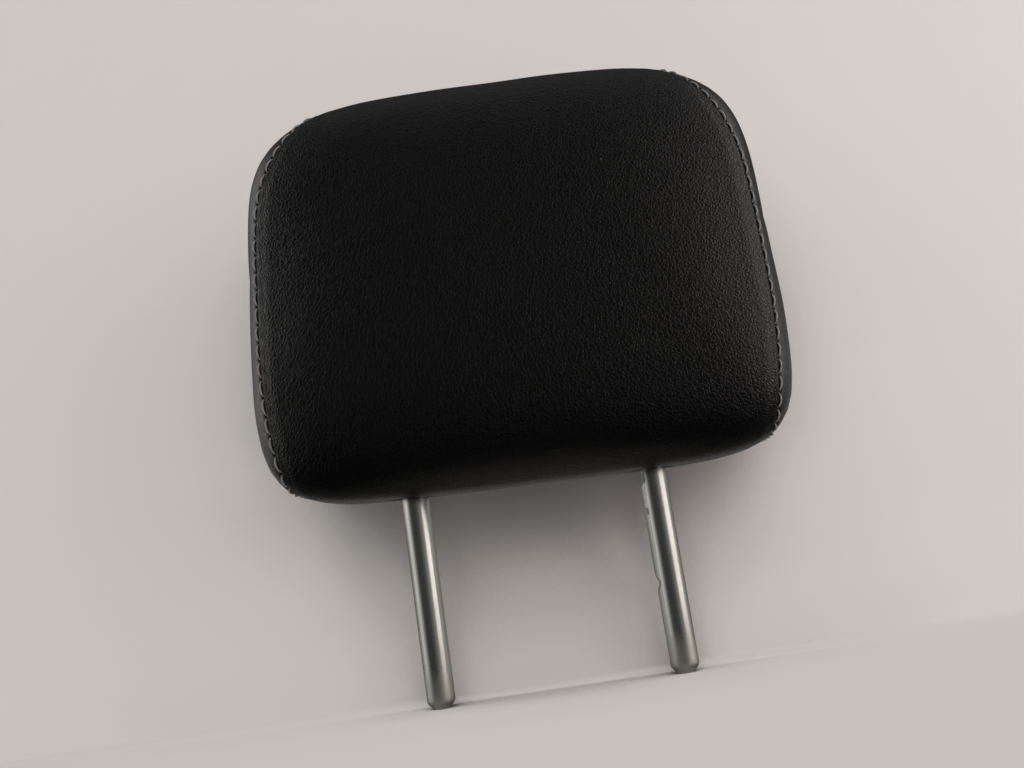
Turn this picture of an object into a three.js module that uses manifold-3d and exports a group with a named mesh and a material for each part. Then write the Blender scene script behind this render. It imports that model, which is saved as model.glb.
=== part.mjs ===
// Car headrest: a padded leather head restraint on a bent, chrome-plated tube.
// Lengths are in millimetres and +Z is up. The padded face looks towards -Y and X runs across the seat.
// The origin lies midway between the lower ends of the two posts.

import * as THREE from 'three';
import { mergeVertices } from 'three/addons/utils/BufferGeometryUtils.js';
import { ParametricGeometry } from 'three/addons/geometries/ParametricGeometry.js';
import Module from 'manifold-3d';

const wasm = await Module();
wasm.setup();

// Clearance between pieces that touch
const fitGap = 0.3;

// How far a cut runs past the surface that it opens
const cutMargin = 1;

// Bent tube
const tubeDiameter = 14;
const tubeWall = 2.5;
const postSpacing = 120;
const crossbarHeight = 252;
const bendRadius = 35;
const noseLength = 3.2;
const noseFlatDiameter = 8.8;
const ventDiameter = 4;
const noseThickness = 6;
const tubeSides = 24;
const boreSides = 16;
const bendSteps = 9;

// Height notches in the inner side of the right post: heights of the lower edge, the floor and the upper edge
const stopNotch = { foot: 91, floorLow: 94.4, floorHigh: 102.4, top: 103, depth: 1.9 };
const lockNotch = { foot: 77.3, floorLow: 77.3, floorHigh: 80.5, top: 80.5, depth: 1.9 };
const rampNotch = { foot: 39.9, floorLow: 43, floorHigh: 44, top: 47.4, depth: 1.7 };

// Pad: half sizes from its centre, and how round each side is seen from the front
const padCentreHeight = 215;
const padHalfWidth = 130.4;
const padRise = 103.6;
const padDrop = 114.4;
const padFrontDepth = 47;
const padBackDepth = 55;
const padLean = 0.158;
const padRoundness = { front: 6.2, top: 3.8, bottom: 7.4, back: 5.6 };
const profileRoundness = 3.5;
const undersideRoundness = 5;
const padSkew = THREE.MathUtils.degToRad(1.6);
const padShift = 4.5;

// Cover: leather on a thin bonded foam, sewn from three panels
const coverThickness = 3;
const seamReach = { face: 0.94, top: 0.67, bottom: 0.88 };
const seamGap = 0.6;
const seamRollIn = 1.2;
const seamRollWidth = 3;
const foamClearance = 0.7;
const postHoleClearance = 0.5;
const padSteps = 48;

// Closing strips along the slit in the underside
const slitWidth = 1;
const slitLength = 168;
const stripLength = 160;
const stripThickness = 1.5;
const stripFlange = 10;
const stripLift = 2;
const hookHeight = 8;
const stripPostClearance = 2;
const stripEndClearance = 1;

// Moulded carrier, two shells screwed together round the tube
const carrierWidth = 168;
const carrierHeight = 88;
const carrierDepth = 44;
const carrierCentreHeight = 240;
const carrierCorner = 14;
const carrierWall = 2.5;
const ribThickness = 2;
const ribPlaces = [-46, -14, 14, 46];
const bossDiameter = 10;
const bossHalfSpan = 30;
const bossHeights = [222, 272];

// Self-tapping screws
const screwDiameter = 3.5;
const screwHeadDiameter = 7;
const screwHeadHeight = 2.4;
const screwLength = 32;
const screwTip = 3;
const screwTipClearance = 1;
const screwSides = 12;
const headRecessDepth = 3;

const tubeRadius = tubeDiameter / 2;
const postX = postSpacing / 2;

// Booleans

function solid(geometry) {
  const bare = geometry.clone();
  bare.deleteAttribute('normal');
  bare.deleteAttribute('uv');
  const merged = mergeVertices(bare);
  const corners = merged.index.array;
  const kept = [];
  for (let i = 0; i < corners.length; i += 3) {
    const [a, b, c] = corners.slice(i, i + 3);
    if (a !== b && b !== c && c !== a) kept.push(a, b, c);
  }
  return new wasm.Manifold(new wasm.Mesh({
    numProp: 3,
    vertProperties: new Float32Array(merged.attributes.position.array),
    triVerts: new Uint32Array(kept),
  }));
}

function geometryOf(body) {
  const mesh = body.getMesh();
  const geometry = new THREE.BufferGeometry();
  geometry.setAttribute('position', new THREE.BufferAttribute(mesh.vertProperties, 3));
  geometry.setIndex(new THREE.BufferAttribute(mesh.triVerts, 1));
  geometry.computeVertexNormals();
  return geometry;
}

function cutAll(body, cutters) {
  return cutters.reduce((rest, cutter) => rest.subtract(cutter), body);
}

// Round bar between two heights, upright at (x, y)
function uprightBar(radius, x, y, low, high, sides = tubeSides) {
  const bar = new THREE.CylinderGeometry(radius, radius, high - low, sides);
  bar.rotateX(Math.PI / 2);
  bar.translate(x, y, (low + high) / 2);
  return solid(bar);
}

// Round bar along Y between two depths, at (x, z)
function crossBar(radius, x, z, near, far, sides = tubeSides) {
  const bar = new THREE.CylinderGeometry(radius, radius, far - near, sides);
  bar.translate(x, (near + far) / 2, z);
  return solid(bar);
}

// Block between two corners
function block(low, high) {
  const size = high.clone().sub(low);
  const box = new THREE.BoxGeometry(size.x, size.y, size.z);
  box.translate((low.x + high.x) / 2, (low.y + high.y) / 2, (low.z + high.z) / 2);
  return solid(box);
}

// Bent tube

// Centre line of the tube: up one post, round two bends and down the other post.
// Its stations are close together in the bends only.
class TubePath extends THREE.Curve {
  constructor(footHeight) {
    super();
    const up = new THREE.Vector3(0, 0, 1);
    const down = new THREE.Vector3(0, 0, -1);
    const bendHeight = crossbarHeight - bendRadius;
    const bendX = postX - bendRadius;
    this.stations = [{ point: new THREE.Vector3(-postX, 0, footHeight), tangent: up }];
    for (const [side, start] of [[-1, Math.PI], [1, Math.PI / 2]]) {
      for (let i = 0; i <= bendSteps; i++) {
        const angle = start - (i / bendSteps) * Math.PI / 2;
        const out = new THREE.Vector3(Math.cos(angle), 0, Math.sin(angle));
        const centre = new THREE.Vector3(side * bendX, 0, bendHeight);
        const tangent = new THREE.Vector3(out.z, 0, -out.x);
        this.stations.push({ point: centre.addScaledVector(out, bendRadius), tangent });
      }
    }
    this.stations.push({ point: new THREE.Vector3(postX, 0, footHeight), tangent: down });
  }

  get steps() {
    return this.stations.length - 1;
  }

  getPointAt(u, target = new THREE.Vector3()) {
    return target.copy(this.stations[Math.round(u * this.steps)].point);
  }

  getTangentAt(u, target = new THREE.Vector3()) {
    return target.copy(this.stations[Math.round(u * this.steps)].tangent);
  }
}

function bentBar(radius, footHeight, sides) {
  const section = new THREE.Shape();
  section.absarc(0, 0, radius, 0, 2 * Math.PI);
  const path = new TubePath(footHeight);
  return solid(new THREE.ExtrudeGeometry(section, {
    steps: path.steps,
    curveSegments: sides / 2,
    extrudePath: path,
  }));
}

// Ring that turns the post's end down to its flat nose
function noseCutter(x) {
  const flatRadius = noseFlatDiameter / 2;
  const slope = (tubeRadius - flatRadius) / noseLength;
  const outer = tubeRadius + cutMargin;
  const inner = flatRadius - slope * cutMargin;
  const profile = [
    new THREE.Vector2(inner, -cutMargin),
    new THREE.Vector2(outer, -cutMargin),
    new THREE.Vector2(outer, noseLength + cutMargin / slope),
    new THREE.Vector2(inner, -cutMargin),
  ];
  const ring = new THREE.LatheGeometry(profile, tubeSides);
  ring.rotateX(Math.PI / 2);
  ring.translate(x, 0, 0);
  return solid(ring);
}

// Wedge that cuts one notch across the inner side of the right post
function notchCutter({ foot, floorLow, floorHigh, top, depth }) {
  const face = postX - tubeRadius;
  const clear = face - cutMargin;
  const floor = face + depth;
  const profile = new THREE.Shape([
    new THREE.Vector2(clear, foot),
    new THREE.Vector2(face, foot),
    new THREE.Vector2(floor, floorLow),
    new THREE.Vector2(floor, floorHigh),
    new THREE.Vector2(face, top),
    new THREE.Vector2(clear, top),
  ]);
  const wedge = new THREE.ExtrudeGeometry(profile, { depth: tubeDiameter, bevelEnabled: false });
  wedge.translate(0, 0, -tubeRadius);
  wedge.rotateX(Math.PI / 2);
  return solid(wedge);
}

function postArmature() {
  const cutters = [bentBar(tubeRadius - tubeWall, noseThickness, boreSides)];
  for (const x of [-postX, postX]) {
    cutters.push(noseCutter(x));
    const ventTop = noseThickness + cutMargin;
    cutters.push(uprightBar(ventDiameter / 2, x, 0, -cutMargin, ventTop, boreSides));
  }
  for (const notch of [stopNotch, lockNotch, rampNotch]) cutters.push(notchCutter(notch));
  return cutAll(bentBar(tubeRadius, 0, tubeSides), cutters);
}

// Carrier

const screwPlaces = bossHeights.flatMap((z) => [[-bossHalfSpan, z], [bossHalfSpan, z]]);
const screwHoleRadius = screwDiameter / 2 + fitGap;
const screwSeat = -carrierDepth / 2 + headRecessDepth;

// Slab with the carrier's rounded outline, grown by a margin, from one depth to another along Y
function carrierSlab(margin, near, far) {
  const halfWidth = carrierWidth / 2 + margin;
  const halfHeight = carrierHeight / 2 + margin;
  const corner = carrierCorner + margin;
  const outline = new THREE.Shape();
  outline.absarc(halfWidth - corner, halfHeight - corner, corner, 0, Math.PI / 2);
  outline.absarc(corner - halfWidth, halfHeight - corner, corner, Math.PI / 2, Math.PI);
  outline.absarc(corner - halfWidth, corner - halfHeight, corner, Math.PI, 1.5 * Math.PI);
  outline.absarc(halfWidth - corner, corner - halfHeight, corner, 1.5 * Math.PI, 2 * Math.PI);
  const slab = new THREE.ExtrudeGeometry(outline, {
    depth: far - near,
    curveSegments: 3,
    bevelEnabled: false,
  });
  slab.rotateX(Math.PI / 2);
  slab.translate(0, far, carrierCentreHeight);
  return solid(slab);
}

// One half of the carrier, with ribs that saddle the tube and bosses for the screws.
// The half lies between the two depths, and its open side is at the parting plane.
function carrierShell(near, far) {
  const isFront = far < 0;
  const inside = isFront
    ? [near + carrierWall, far + cutMargin]
    : [near - cutMargin, far - carrierWall];
  const low = carrierCentreHeight - carrierHeight / 2;
  const high = carrierCentreHeight + carrierHeight / 2;
  const hollow = carrierSlab(-carrierWall, ...inside);
  const halfRib = ribThickness / 2;
  let ribs = null;
  for (const x of ribPlaces) {
    const rib = block(new THREE.Vector3(x - halfRib, near, low), new THREE.Vector3(x + halfRib, far, high));
    ribs = ribs ? ribs.add(rib) : rib;
  }
  for (const z of bossHeights) {
    const left = new THREE.Vector3(-carrierWidth / 2, near, z - halfRib);
    ribs = ribs.add(block(left, new THREE.Vector3(carrierWidth / 2, far, z + halfRib)));
  }
  for (const [x, z] of screwPlaces) ribs = ribs.add(crossBar(bossDiameter / 2, x, z, near, far));
  const cutters = [bentBar(tubeRadius + fitGap, 0, tubeSides)];
  for (const [x, z] of screwPlaces) {
    const depth = screwSeat + screwLength + screwTipClearance;
    cutters.push(crossBar(screwHoleRadius, x, z, near - cutMargin, depth, screwSides));
    if (isFront) {
      const recessRadius = screwHeadDiameter / 2 + fitGap;
      cutters.push(crossBar(recessRadius, x, z, near - cutMargin, screwSeat, screwSides));
    }
  }
  const tray = carrierSlab(0, near, far).subtract(hollow);
  return cutAll(tray.add(ribs.intersect(carrierSlab(-carrierWall / 2, near, far))), cutters);
}

// Screw along +Y with a pan head, its head resting at the bottom of the recess
function screwGeometry() {
  const head = screwHeadDiameter / 2;
  const shank = screwDiameter / 2;
  const profile = [
    new THREE.Vector2(0, -screwHeadHeight),
    new THREE.Vector2(head * 0.6, -screwHeadHeight),
    new THREE.Vector2(head * 0.9, -screwHeadHeight * 0.75),
    new THREE.Vector2(head, 0),
    new THREE.Vector2(shank, 0),
    new THREE.Vector2(shank, screwLength - screwTip),
    new THREE.Vector2(0, screwLength),
  ];
  return new THREE.LatheGeometry(profile, screwSides);
}

// Pad surface

// Blend of the values for the back, top, front and bottom by the direction seen from the side
function bySide(angle, { back, top, front, bottom }) {
  const c = Math.cos(angle);
  const s = Math.sin(angle);
  return c * c * (c > 0 ? back : front) + s * s * (s > 0 ? top : bottom);
}

function seamAt(angle) {
  const { face, top, bottom } = seamReach;
  return bySide(angle, { back: face, top, front: face, bottom });
}

// Point of the pad's surface, measured from the pad's centre. The angle runs round the side profile from
// the back over the top and the front to the bottom. Reach runs across it, from -1 at the left side to 1
// at the right side. The profile is a superellipse that shrinks to a point at each side, by a power law
// whose power is the roundness of that edge. The inset sinks the point below the surface.
function padPoint(angle, reach, inset) {
  const c = Math.cos(angle);
  const s = Math.sin(angle);
  const power = 2 / (c > 0 && s < 0 ? undersideRoundness : profileRoundness);
  const depth = (c > 0 ? padBackDepth : padFrontDepth) - inset;
  const height = (s > 0 ? padRise : padDrop) - inset;
  const roundness = bySide(angle, padRoundness);
  const shrink = Math.max(0, 1 - Math.abs(reach) ** roundness) ** (1 / roundness);
  const z = Math.sign(s) * Math.abs(s) ** power * height * shrink;
  const y = Math.sign(c) * Math.abs(c) ** power * depth * shrink + padLean * z;
  return new THREE.Vector3((padHalfWidth - inset) * reach, y, z);
}

// Closed solid whose surface runs round the profile, with a row of [reach, inset] pairs at each angle.
// The row either closes on itself or starts and ends at a side's middle.
function padSolid(rowAt) {
  const rows = [];
  for (let i = 0; i < padSteps; i++) {
    const angle = (2 * Math.PI * i) / padSteps;
    rows.push(rowAt(angle).map(([reach, inset]) => padPoint(angle, reach, inset)));
  }
  const last = rows[0].length - 1;
  const surface = new ParametricGeometry(
    (u, v, target) => target.copy(rows[Math.round(u * padSteps) % padSteps][Math.round(v * last)]),
    padSteps,
    last,
  );
  return solid(surface);
}

// Reach at a share of the way from a seam to the middle of the side, spaced so that the rim stays round
function sideReach(angle, start, share) {
  const roundness = bySide(angle, padRoundness);
  const from = Math.asin(start ** (roundness / 2));
  return Math.sin(from + (Math.PI / 2 - from) * share) ** (2 / roundness);
}

const rollIn = [[0, seamRollIn], [seamRollWidth / 3, seamRollIn * 0.3], [seamRollWidth, 0]];
const stripBase = coverThickness + stripLift - padDrop;
const seamEdge = seamGap / 2 / padHalfWidth;
const faceShares = [0.92, 0.82, 0.66, 0.44, 0.2];
const sideShares = [0.25, 0.45, 0.65, 0.83];

function foamCore() {
  const inset = coverThickness + foamClearance;
  const body = padSolid((angle) => {
    const faceEdge = seamAt(angle) - seamEdge;
    const sideEdge = seamAt(angle) + seamEdge;
    const half = [...faceShares.map((share) => share * faceEdge).reverse(), faceEdge, sideEdge];
    for (const share of sideShares) half.push(sideReach(angle, sideEdge, share));
    half.push(1);
    const row = [...half.map((reach) => -reach).reverse(), 0, ...half];
    return row.map((reach) => [reach, inset]);
  });
  const groove = stripFlange + stripEndClearance;
  const end = stripLength / 2 + stripEndClearance;
  const recess = block(
    new THREE.Vector3(-end, -groove, -padDrop),
    new THREE.Vector3(end, groove, stripBase + hookHeight + fitGap),
  );
  const half = carrierDepth / 2 + fitGap;
  const frame = [carrierSlab(fitGap, -half, half), bentBar(tubeRadius + fitGap, 0, tubeSides)];
  return cutAll(body, [recess, ...frame.map(intoPad)]);
}

// Band of cover that runs from the slit over the face, the top and the back to the slit again
function centrePanel() {
  const body = padSolid((angle) => {
    const seam = seamAt(angle) - seamEdge;
    const outer = rollIn.map(([distance, inset]) => [seam - distance / padHalfWidth, inset]);
    for (const share of faceShares) outer.push([share * seam, 0]);
    const inner = [seam, ...faceShares.map((share) => share * seam)];
    const mirrored = (pairs) => pairs.map(([reach, inset]) => [-reach, inset]);
    const innerPairs = inner.map((reach) => [reach, coverThickness]);
    return [
      ...mirrored(outer), [0, 0], ...[...outer].reverse(),
      ...innerPairs, [0, coverThickness], ...mirrored([...innerPairs].reverse()), mirrored(outer)[0],
    ];
  });
  const slit = block(
    new THREE.Vector3(-slitLength / 2, -slitWidth / 2, -padDrop - cutMargin),
    new THREE.Vector3(slitLength / 2, slitWidth / 2, -padDrop / 2),
  );
  const hole = tubeRadius + postHoleClearance;
  const holes = [-postX, postX].map((x) => intoPad(uprightBar(hole, x, 0, 0, padCentreHeight)));
  return cutAll(body, [slit, ...holes]);
}

// Shaped panel that closes one end of the pad
function sidePanel(side) {
  return padSolid((angle) => {
    const seam = seamAt(angle) + seamEdge;
    const outer = rollIn.map(([distance, inset]) => [seam + distance / padHalfWidth, inset]);
    const rim = seam + seamRollWidth / padHalfWidth;
    for (const share of sideShares) outer.push([sideReach(angle, rim, share), 0]);
    outer.push([1, 0]);
    const inner = [seam, ...sideShares.map((share) => sideReach(angle, seam, share)), 1];
    const loop = [...inner.reverse().map((reach) => [reach, coverThickness]), ...outer];
    const turned = side > 0 ? loop : loop.reverse();
    return turned.map(([reach, inset]) => [side * reach, inset]);
  });
}

// Closing strips: two extruded hooks that grip each other above the slit.
// Depths are measured from the slit, heights from the inner face of the cover.
function closureStrip(profile) {
  const strip = new THREE.ExtrudeGeometry(new THREE.Shape(profile), {
    depth: stripLength,
    bevelEnabled: false,
  });
  strip.translate(0, 0, -stripLength / 2);
  strip.rotateX(Math.PI / 2);
  strip.rotateZ(Math.PI / 2);
  strip.translate(0, 0, stripBase);
  const hole = tubeRadius + stripPostClearance;
  const holes = [-postX, postX].map((x) => intoPad(uprightBar(hole, x, 0, 0, padCentreHeight)));
  return cutAll(solid(strip), holes);
}

const point = (y, z) => new THREE.Vector2(y, z);
const lip = stripThickness + fitGap;

// Front hook: a flange on the front flap, a wall, a cap over the slit and a lip that points down
const frontHook = [
  point(-stripFlange, 0),
  point(-lip, 0),
  point(-lip, hookHeight - stripThickness),
  point(lip, hookHeight - stripThickness),
  point(lip, stripThickness + 2 * fitGap),
  point(lip + stripThickness, stripThickness + 2 * fitGap),
  point(lip + stripThickness, hookHeight),
  point(-lip - stripThickness, hookHeight),
  point(-lip - stripThickness, stripThickness),
  point(-stripFlange, stripThickness),
];

// Rear hook: a flange on the rear flap and a lip that stands up inside the front hook
const rearHook = [
  point(-stripThickness / 2, 0),
  point(stripFlange, 0),
  point(stripFlange, stripThickness),
  point(stripThickness / 2, stripThickness),
  point(stripThickness / 2, hookHeight - stripThickness - fitGap),
  point(-stripThickness / 2, hookHeight - stripThickness - fitGap),
];

// Assembly

// The pad sits slightly turned and shifted on its frame, as the real one does
const pad = new THREE.Group();
pad.position.set(padShift, 0, padCentreHeight);
pad.rotation.y = padSkew;
pad.updateMatrix();

// Brings a solid from the frame's place into the pad's own place
function intoPad(body) {
  return body.transform(pad.matrix.clone().invert().elements);
}

const finishes = {
  chrome: { color: 0xd6d8da, roughness: 0.16, metalness: 1 },
  leather: { color: 0x19171a, roughness: 0.55, metalness: 0 },
  foam: { color: 0xd9cfae, roughness: 0.95, metalness: 0 },
  moulding: { color: 0x2b2c2e, roughness: 0.6, metalness: 0 },
  strip: { color: 0x1d1d1f, roughness: 0.5, metalness: 0 },
  zinc: { color: 0xb9bab4, roughness: 0.35, metalness: 1 },
};
const materials = {};
for (const [name, finish] of Object.entries(finishes)) {
  materials[name] = new THREE.MeshStandardMaterial(finish);
}

function piece(name, body, finish) {
  const geometry = body.isBufferGeometry ? body : geometryOf(body);
  const mesh = new THREE.Mesh(geometry, materials[finish]);
  mesh.name = name;
  return mesh;
}

const headrest = new THREE.Group();
headrest.add(piece('post_armature', postArmature(), 'chrome'));
headrest.add(piece('carrier_front_shell', carrierShell(-carrierDepth / 2, -fitGap / 2), 'moulding'));
headrest.add(piece('carrier_rear_shell', carrierShell(fitGap / 2, carrierDepth / 2), 'moulding'));
screwPlaces.forEach(([x, z], i) => {
  const screw = piece(`carrier_screw_${i + 1}`, screwGeometry(), 'zinc');
  screw.position.set(x, screwSeat - fitGap, z);
  headrest.add(screw);
});

pad.add(piece('foam_core', foamCore(), 'foam'));
pad.add(piece('cover_centre_panel', centrePanel(), 'leather'));
pad.add(piece('cover_left_side', sidePanel(-1), 'leather'));
pad.add(piece('cover_right_side', sidePanel(1), 'leather'));
pad.add(piece('closure_strip_front', closureStrip(frontHook), 'strip'));
pad.add(piece('closure_strip_rear', closureStrip(rearHook), 'strip'));
headrest.add(pad);

export default headrest;
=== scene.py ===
"""Car headrest: a padded leather cover over a bent, chrome-plated tube.

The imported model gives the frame, in metres, with +Z up and the padded face towards -Y. The leather panels,
their topstitching and the chrome tube are worked out here as surfaces and dressed with node materials.
"""

import math

import bpy
import numpy as np
from bpy.props import FloatProperty, FloatVectorProperty, PointerProperty
from mathutils import Matrix, Vector


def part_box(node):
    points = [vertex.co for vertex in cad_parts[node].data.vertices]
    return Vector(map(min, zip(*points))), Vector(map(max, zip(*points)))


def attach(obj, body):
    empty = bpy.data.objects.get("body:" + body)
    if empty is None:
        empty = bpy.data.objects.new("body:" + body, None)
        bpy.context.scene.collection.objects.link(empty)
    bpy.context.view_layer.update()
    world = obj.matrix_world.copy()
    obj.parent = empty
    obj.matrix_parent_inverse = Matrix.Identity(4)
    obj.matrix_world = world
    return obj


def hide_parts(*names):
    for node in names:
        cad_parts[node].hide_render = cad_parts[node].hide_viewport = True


bl_info = {
    "name": "Car headrest",
    "version": (1, 0, 0),
    "blender": (4, 5, 0),
    "location": "3D View > Sidebar > Headrest",
    "description": "Builds a stitched leather headrest on chrome posts around its packed frame",
    "category": "Add Mesh",
}

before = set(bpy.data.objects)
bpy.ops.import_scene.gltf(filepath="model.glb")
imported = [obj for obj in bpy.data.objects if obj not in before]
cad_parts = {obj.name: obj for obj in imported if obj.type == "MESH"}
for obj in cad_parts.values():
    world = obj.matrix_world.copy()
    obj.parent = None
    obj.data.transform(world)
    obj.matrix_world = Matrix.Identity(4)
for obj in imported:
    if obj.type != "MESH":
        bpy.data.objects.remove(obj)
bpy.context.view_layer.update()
MM = 0.001
TUBE_LOW, TUBE_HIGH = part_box("post_armature")
TUBE_RADIUS = (TUBE_HIGH[1] - TUBE_LOW[1]) / 2
POST_X = (TUBE_HIGH[0] - TUBE_LOW[0]) / 2 - TUBE_RADIUS


# Settings


class HeadrestPad(bpy.types.PropertyGroup):
    """Form of the padded cover, measured from the pad's centre."""

    half_width: FloatProperty(
        name="Half width", description="From the middle to a side", default=0.1303, unit="LENGTH"
    )
    rise: FloatProperty(
        name="Rise", description="From the centre to the top", default=0.1036, unit="LENGTH"
    )
    drop: FloatProperty(
        name="Drop", description="From the centre to the underside", default=0.1144, unit="LENGTH"
    )
    face_depth: FloatProperty(
        name="Face depth", description="From the centre to the face", default=0.047, unit="LENGTH"
    )
    back_depth: FloatProperty(
        name="Back depth", description="From the centre to the back", default=0.055, unit="LENGTH"
    )
    lean: FloatProperty(
        name="Lean", description="How far the pad leans back for each unit of height", default=0.158
    )
    roundness: FloatVectorProperty(
        name="Roundness", description="How square the edge to each side is: back, top, face and underside",
        size=4, default=(5.6, 3.8, 6.2, 7.4),
    )
    profile: FloatVectorProperty(
        name="Profile", description="How square the side profile is: at the lower back, and elsewhere",
        size=2, default=(5.0, 3.5),
    )
    centre_height: FloatProperty(
        name="Centre height", description="Above the posts' ends", default=0.215, unit="LENGTH"
    )
    shift: FloatProperty(
        name="Shift", description="Sideways shift on the posts", default=0.0042, unit="LENGTH"
    )
    skew: FloatProperty(
        name="Skew", description="Turn on the posts, seen from the front",
        default=math.radians(1.6), subtype="ANGLE",
    )
    sunk_start: FloatProperty(
        name="Sunk start", description="Depth below the full form at which the padding starts to swell",
        default=0.0002, unit="LENGTH",
    )
    swell_limit: FloatProperty(
        name="Swell limit", description="Farthest that a point of the cover may move as it swells",
        default=0.0030, unit="LENGTH",
    )


class HeadrestLeather(bpy.types.PropertyGroup):
    """Finish of the leather."""

    colour: FloatVectorProperty(
        name="Colour", description="Leather colour", subtype="COLOR", size=3,
        default=(0.0013, 0.0012, 0.0012),
    )
    grain_size: FloatProperty(
        name="Grain size", description="Width of one pebble of the grain", default=0.0016, unit="LENGTH"
    )
    thickness: FloatProperty(
        name="Thickness", description="Thickness of the leather", default=0.0016, unit="LENGTH"
    )


class HeadrestStitching(bpy.types.PropertyGroup):
    """Topstitching beside the two seams."""

    colour: FloatVectorProperty(
        name="Colour", description="Thread colour", subtype="COLOR", size=3, default=(0.74, 0.72, 0.69)
    )
    pitch: FloatProperty(
        name="Pitch", description="Length of one stitch on the right seam", default=0.0080, unit="LENGTH"
    )
    left_pitch: FloatProperty(
        name="Left pitch", description="Length of one stitch on the left seam", default=0.0093, unit="LENGTH"
    )
    thread: FloatProperty(
        name="Thread", description="Thread diameter", default=0.00092, unit="LENGTH"
    )


class HeadrestPosts(bpy.types.PropertyGroup):
    """Chrome-plated tube."""

    colour: FloatVectorProperty(
        name="Colour", description="Plating colour", subtype="COLOR", size=3, default=(0.55, 0.56, 0.52)
    )
    worn_height: FloatProperty(
        name="Worn height", description="Height of the dull stretch at the posts' ends",
        default=0.016, unit="LENGTH",
    )


class HeadrestStage(bpy.types.PropertyGroup):
    """Floor, light and camera."""

    floor_colour: FloatVectorProperty(
        name="Floor colour", description="Colour of the floor and backdrop", subtype="COLOR", size=3,
        default=(0.76, 0.74, 0.725),
    )
    focal_length: FloatProperty(
        name="Focal length", description="Camera lens for a 36 mm wide sensor, in millimetres",
        default=35.16,
    )


# Where the seams run, as shares of the half width, the pad's girth, and the fineness of the surfaces

SEAM_FACE, SEAM_TOP, SEAM_BOTTOM = 0.94, 0.67, 0.88
GIRTH = 0.57
ROWS = 480
SIM_ROWS, SIM_COLUMNS = 96, 60
ACROSS_SAMPLES = 500
PROFILE_SAMPLES = 40001

# Sewn detail: heights above the padding, and places and half widths measured from a seam

SEAM_GAP = 0.1 * MM
STITCH_OFFSET = 0.05 * MM
ROLL_RADIUS, ROLL_EXTRA = 0.6 * MM, 0.35 * MM
FACE_SWELLS = ((0.14 * MM, 2.4 * MM, 1.5 * MM), (0.20 * MM, 8.0 * MM, 3.0 * MM))
SIDE_SWELL = (0.12 * MM, 2.6 * MM, 1.4 * MM)
HOLE_DEPTH, HOLE_LENGTH, HOLE_WIDTH = 0.8 * MM, 0.8 * MM, 0.9 * MM
PUCKER_DEPTH, PUCKER_PLACE, PUCKER_WIDTH = 0.13 * MM, 2.6 * MM, 2.0 * MM
UNEVEN_HEIGHT, UNEVEN_SCALE, UNEVEN_SEED = 0.16 * MM, 0.045, 7

# Underside: the share of the pad's drop at which it starts, its slit, the dips round the posts, where the
# padding is held, and how far the posts' holes clear them and how high they may be

UNDERSIDE = 0.8
SLIT_DEPTH, SLIT_WIDTH, SLIT_END, SLIT_FADE = 2.2 * MM, 0.9 * MM, 86 * MM, 4 * MM
SLIT_SAG, SLIT_SAG_WIDTH = 0.5 * MM, 5 * MM
DIP_DEPTH, DIP_WIDTH = 3.2 * MM, 2.4 * MM
HELD_SLIT_WIDTH, HELD_SLIT_END, HELD_POST_REACH = 4 * MM, 90 * MM, 13 * MM
POST_HOLE_CLEARANCE, POST_HOLE_LIMIT = 0.35 * MM, 0.12


def by_side(angle, back, top, front, bottom):
    """Blend of four values by direction: cosine squared picks back or front, sine squared top or bottom."""
    c, s = np.cos(angle), np.sin(angle)
    return c * c * np.where(c > 0, back, front) + s * s * np.where(s > 0, top, bottom)


def pad_points(pad, angle, reach):
    """Points of the full form of the pad, from its centre.

    The side profile is a superellipse at the given angle, with one pair of half axes for each quadrant. It
    shrinks as (1 - |reach|^p)^(1/p) from the middle of the pad to each side, where p blends the roundness
    of the four edges, and leans back in proportion to its height.
    """
    c, s = np.cos(angle), np.sin(angle)
    lower_back, elsewhere = pad.profile
    power = 2 / np.where((c > 0) & (s < 0), lower_back, elsewhere)
    roundness = by_side(angle, *pad.roundness)
    shrink = np.maximum(1 - np.abs(reach) ** roundness, 0) ** (1 / roundness)
    z = np.sign(s) * np.abs(s) ** power * np.where(s > 0, pad.rise, pad.drop) * shrink
    y = np.sign(c) * np.abs(c) ** power * np.where(c > 0, pad.back_depth, pad.face_depth) * shrink
    return np.stack([pad.half_width * reach + 0 * y, y + pad.lean * z, z], axis=-1)


def profile_angles(pad, arcs):
    """Angles at the given shares of the way round the side profile, starting at the slit below."""
    dense = np.linspace(0, 2 * np.pi, PROFILE_SAMPLES)
    points = pad_points(pad, dense, 0.0)
    along = np.concatenate([[0], np.cumsum(np.linalg.norm(np.diff(points, axis=0), axis=1))])
    underside = dense > 1.5 * np.pi
    slit = dense[underside][np.argmin(np.abs(points[underside, 1]))]
    start = np.interp(slit, dense, along)
    return np.interp((start + arcs * along[-1]) % along[-1], along, dense)


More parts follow.
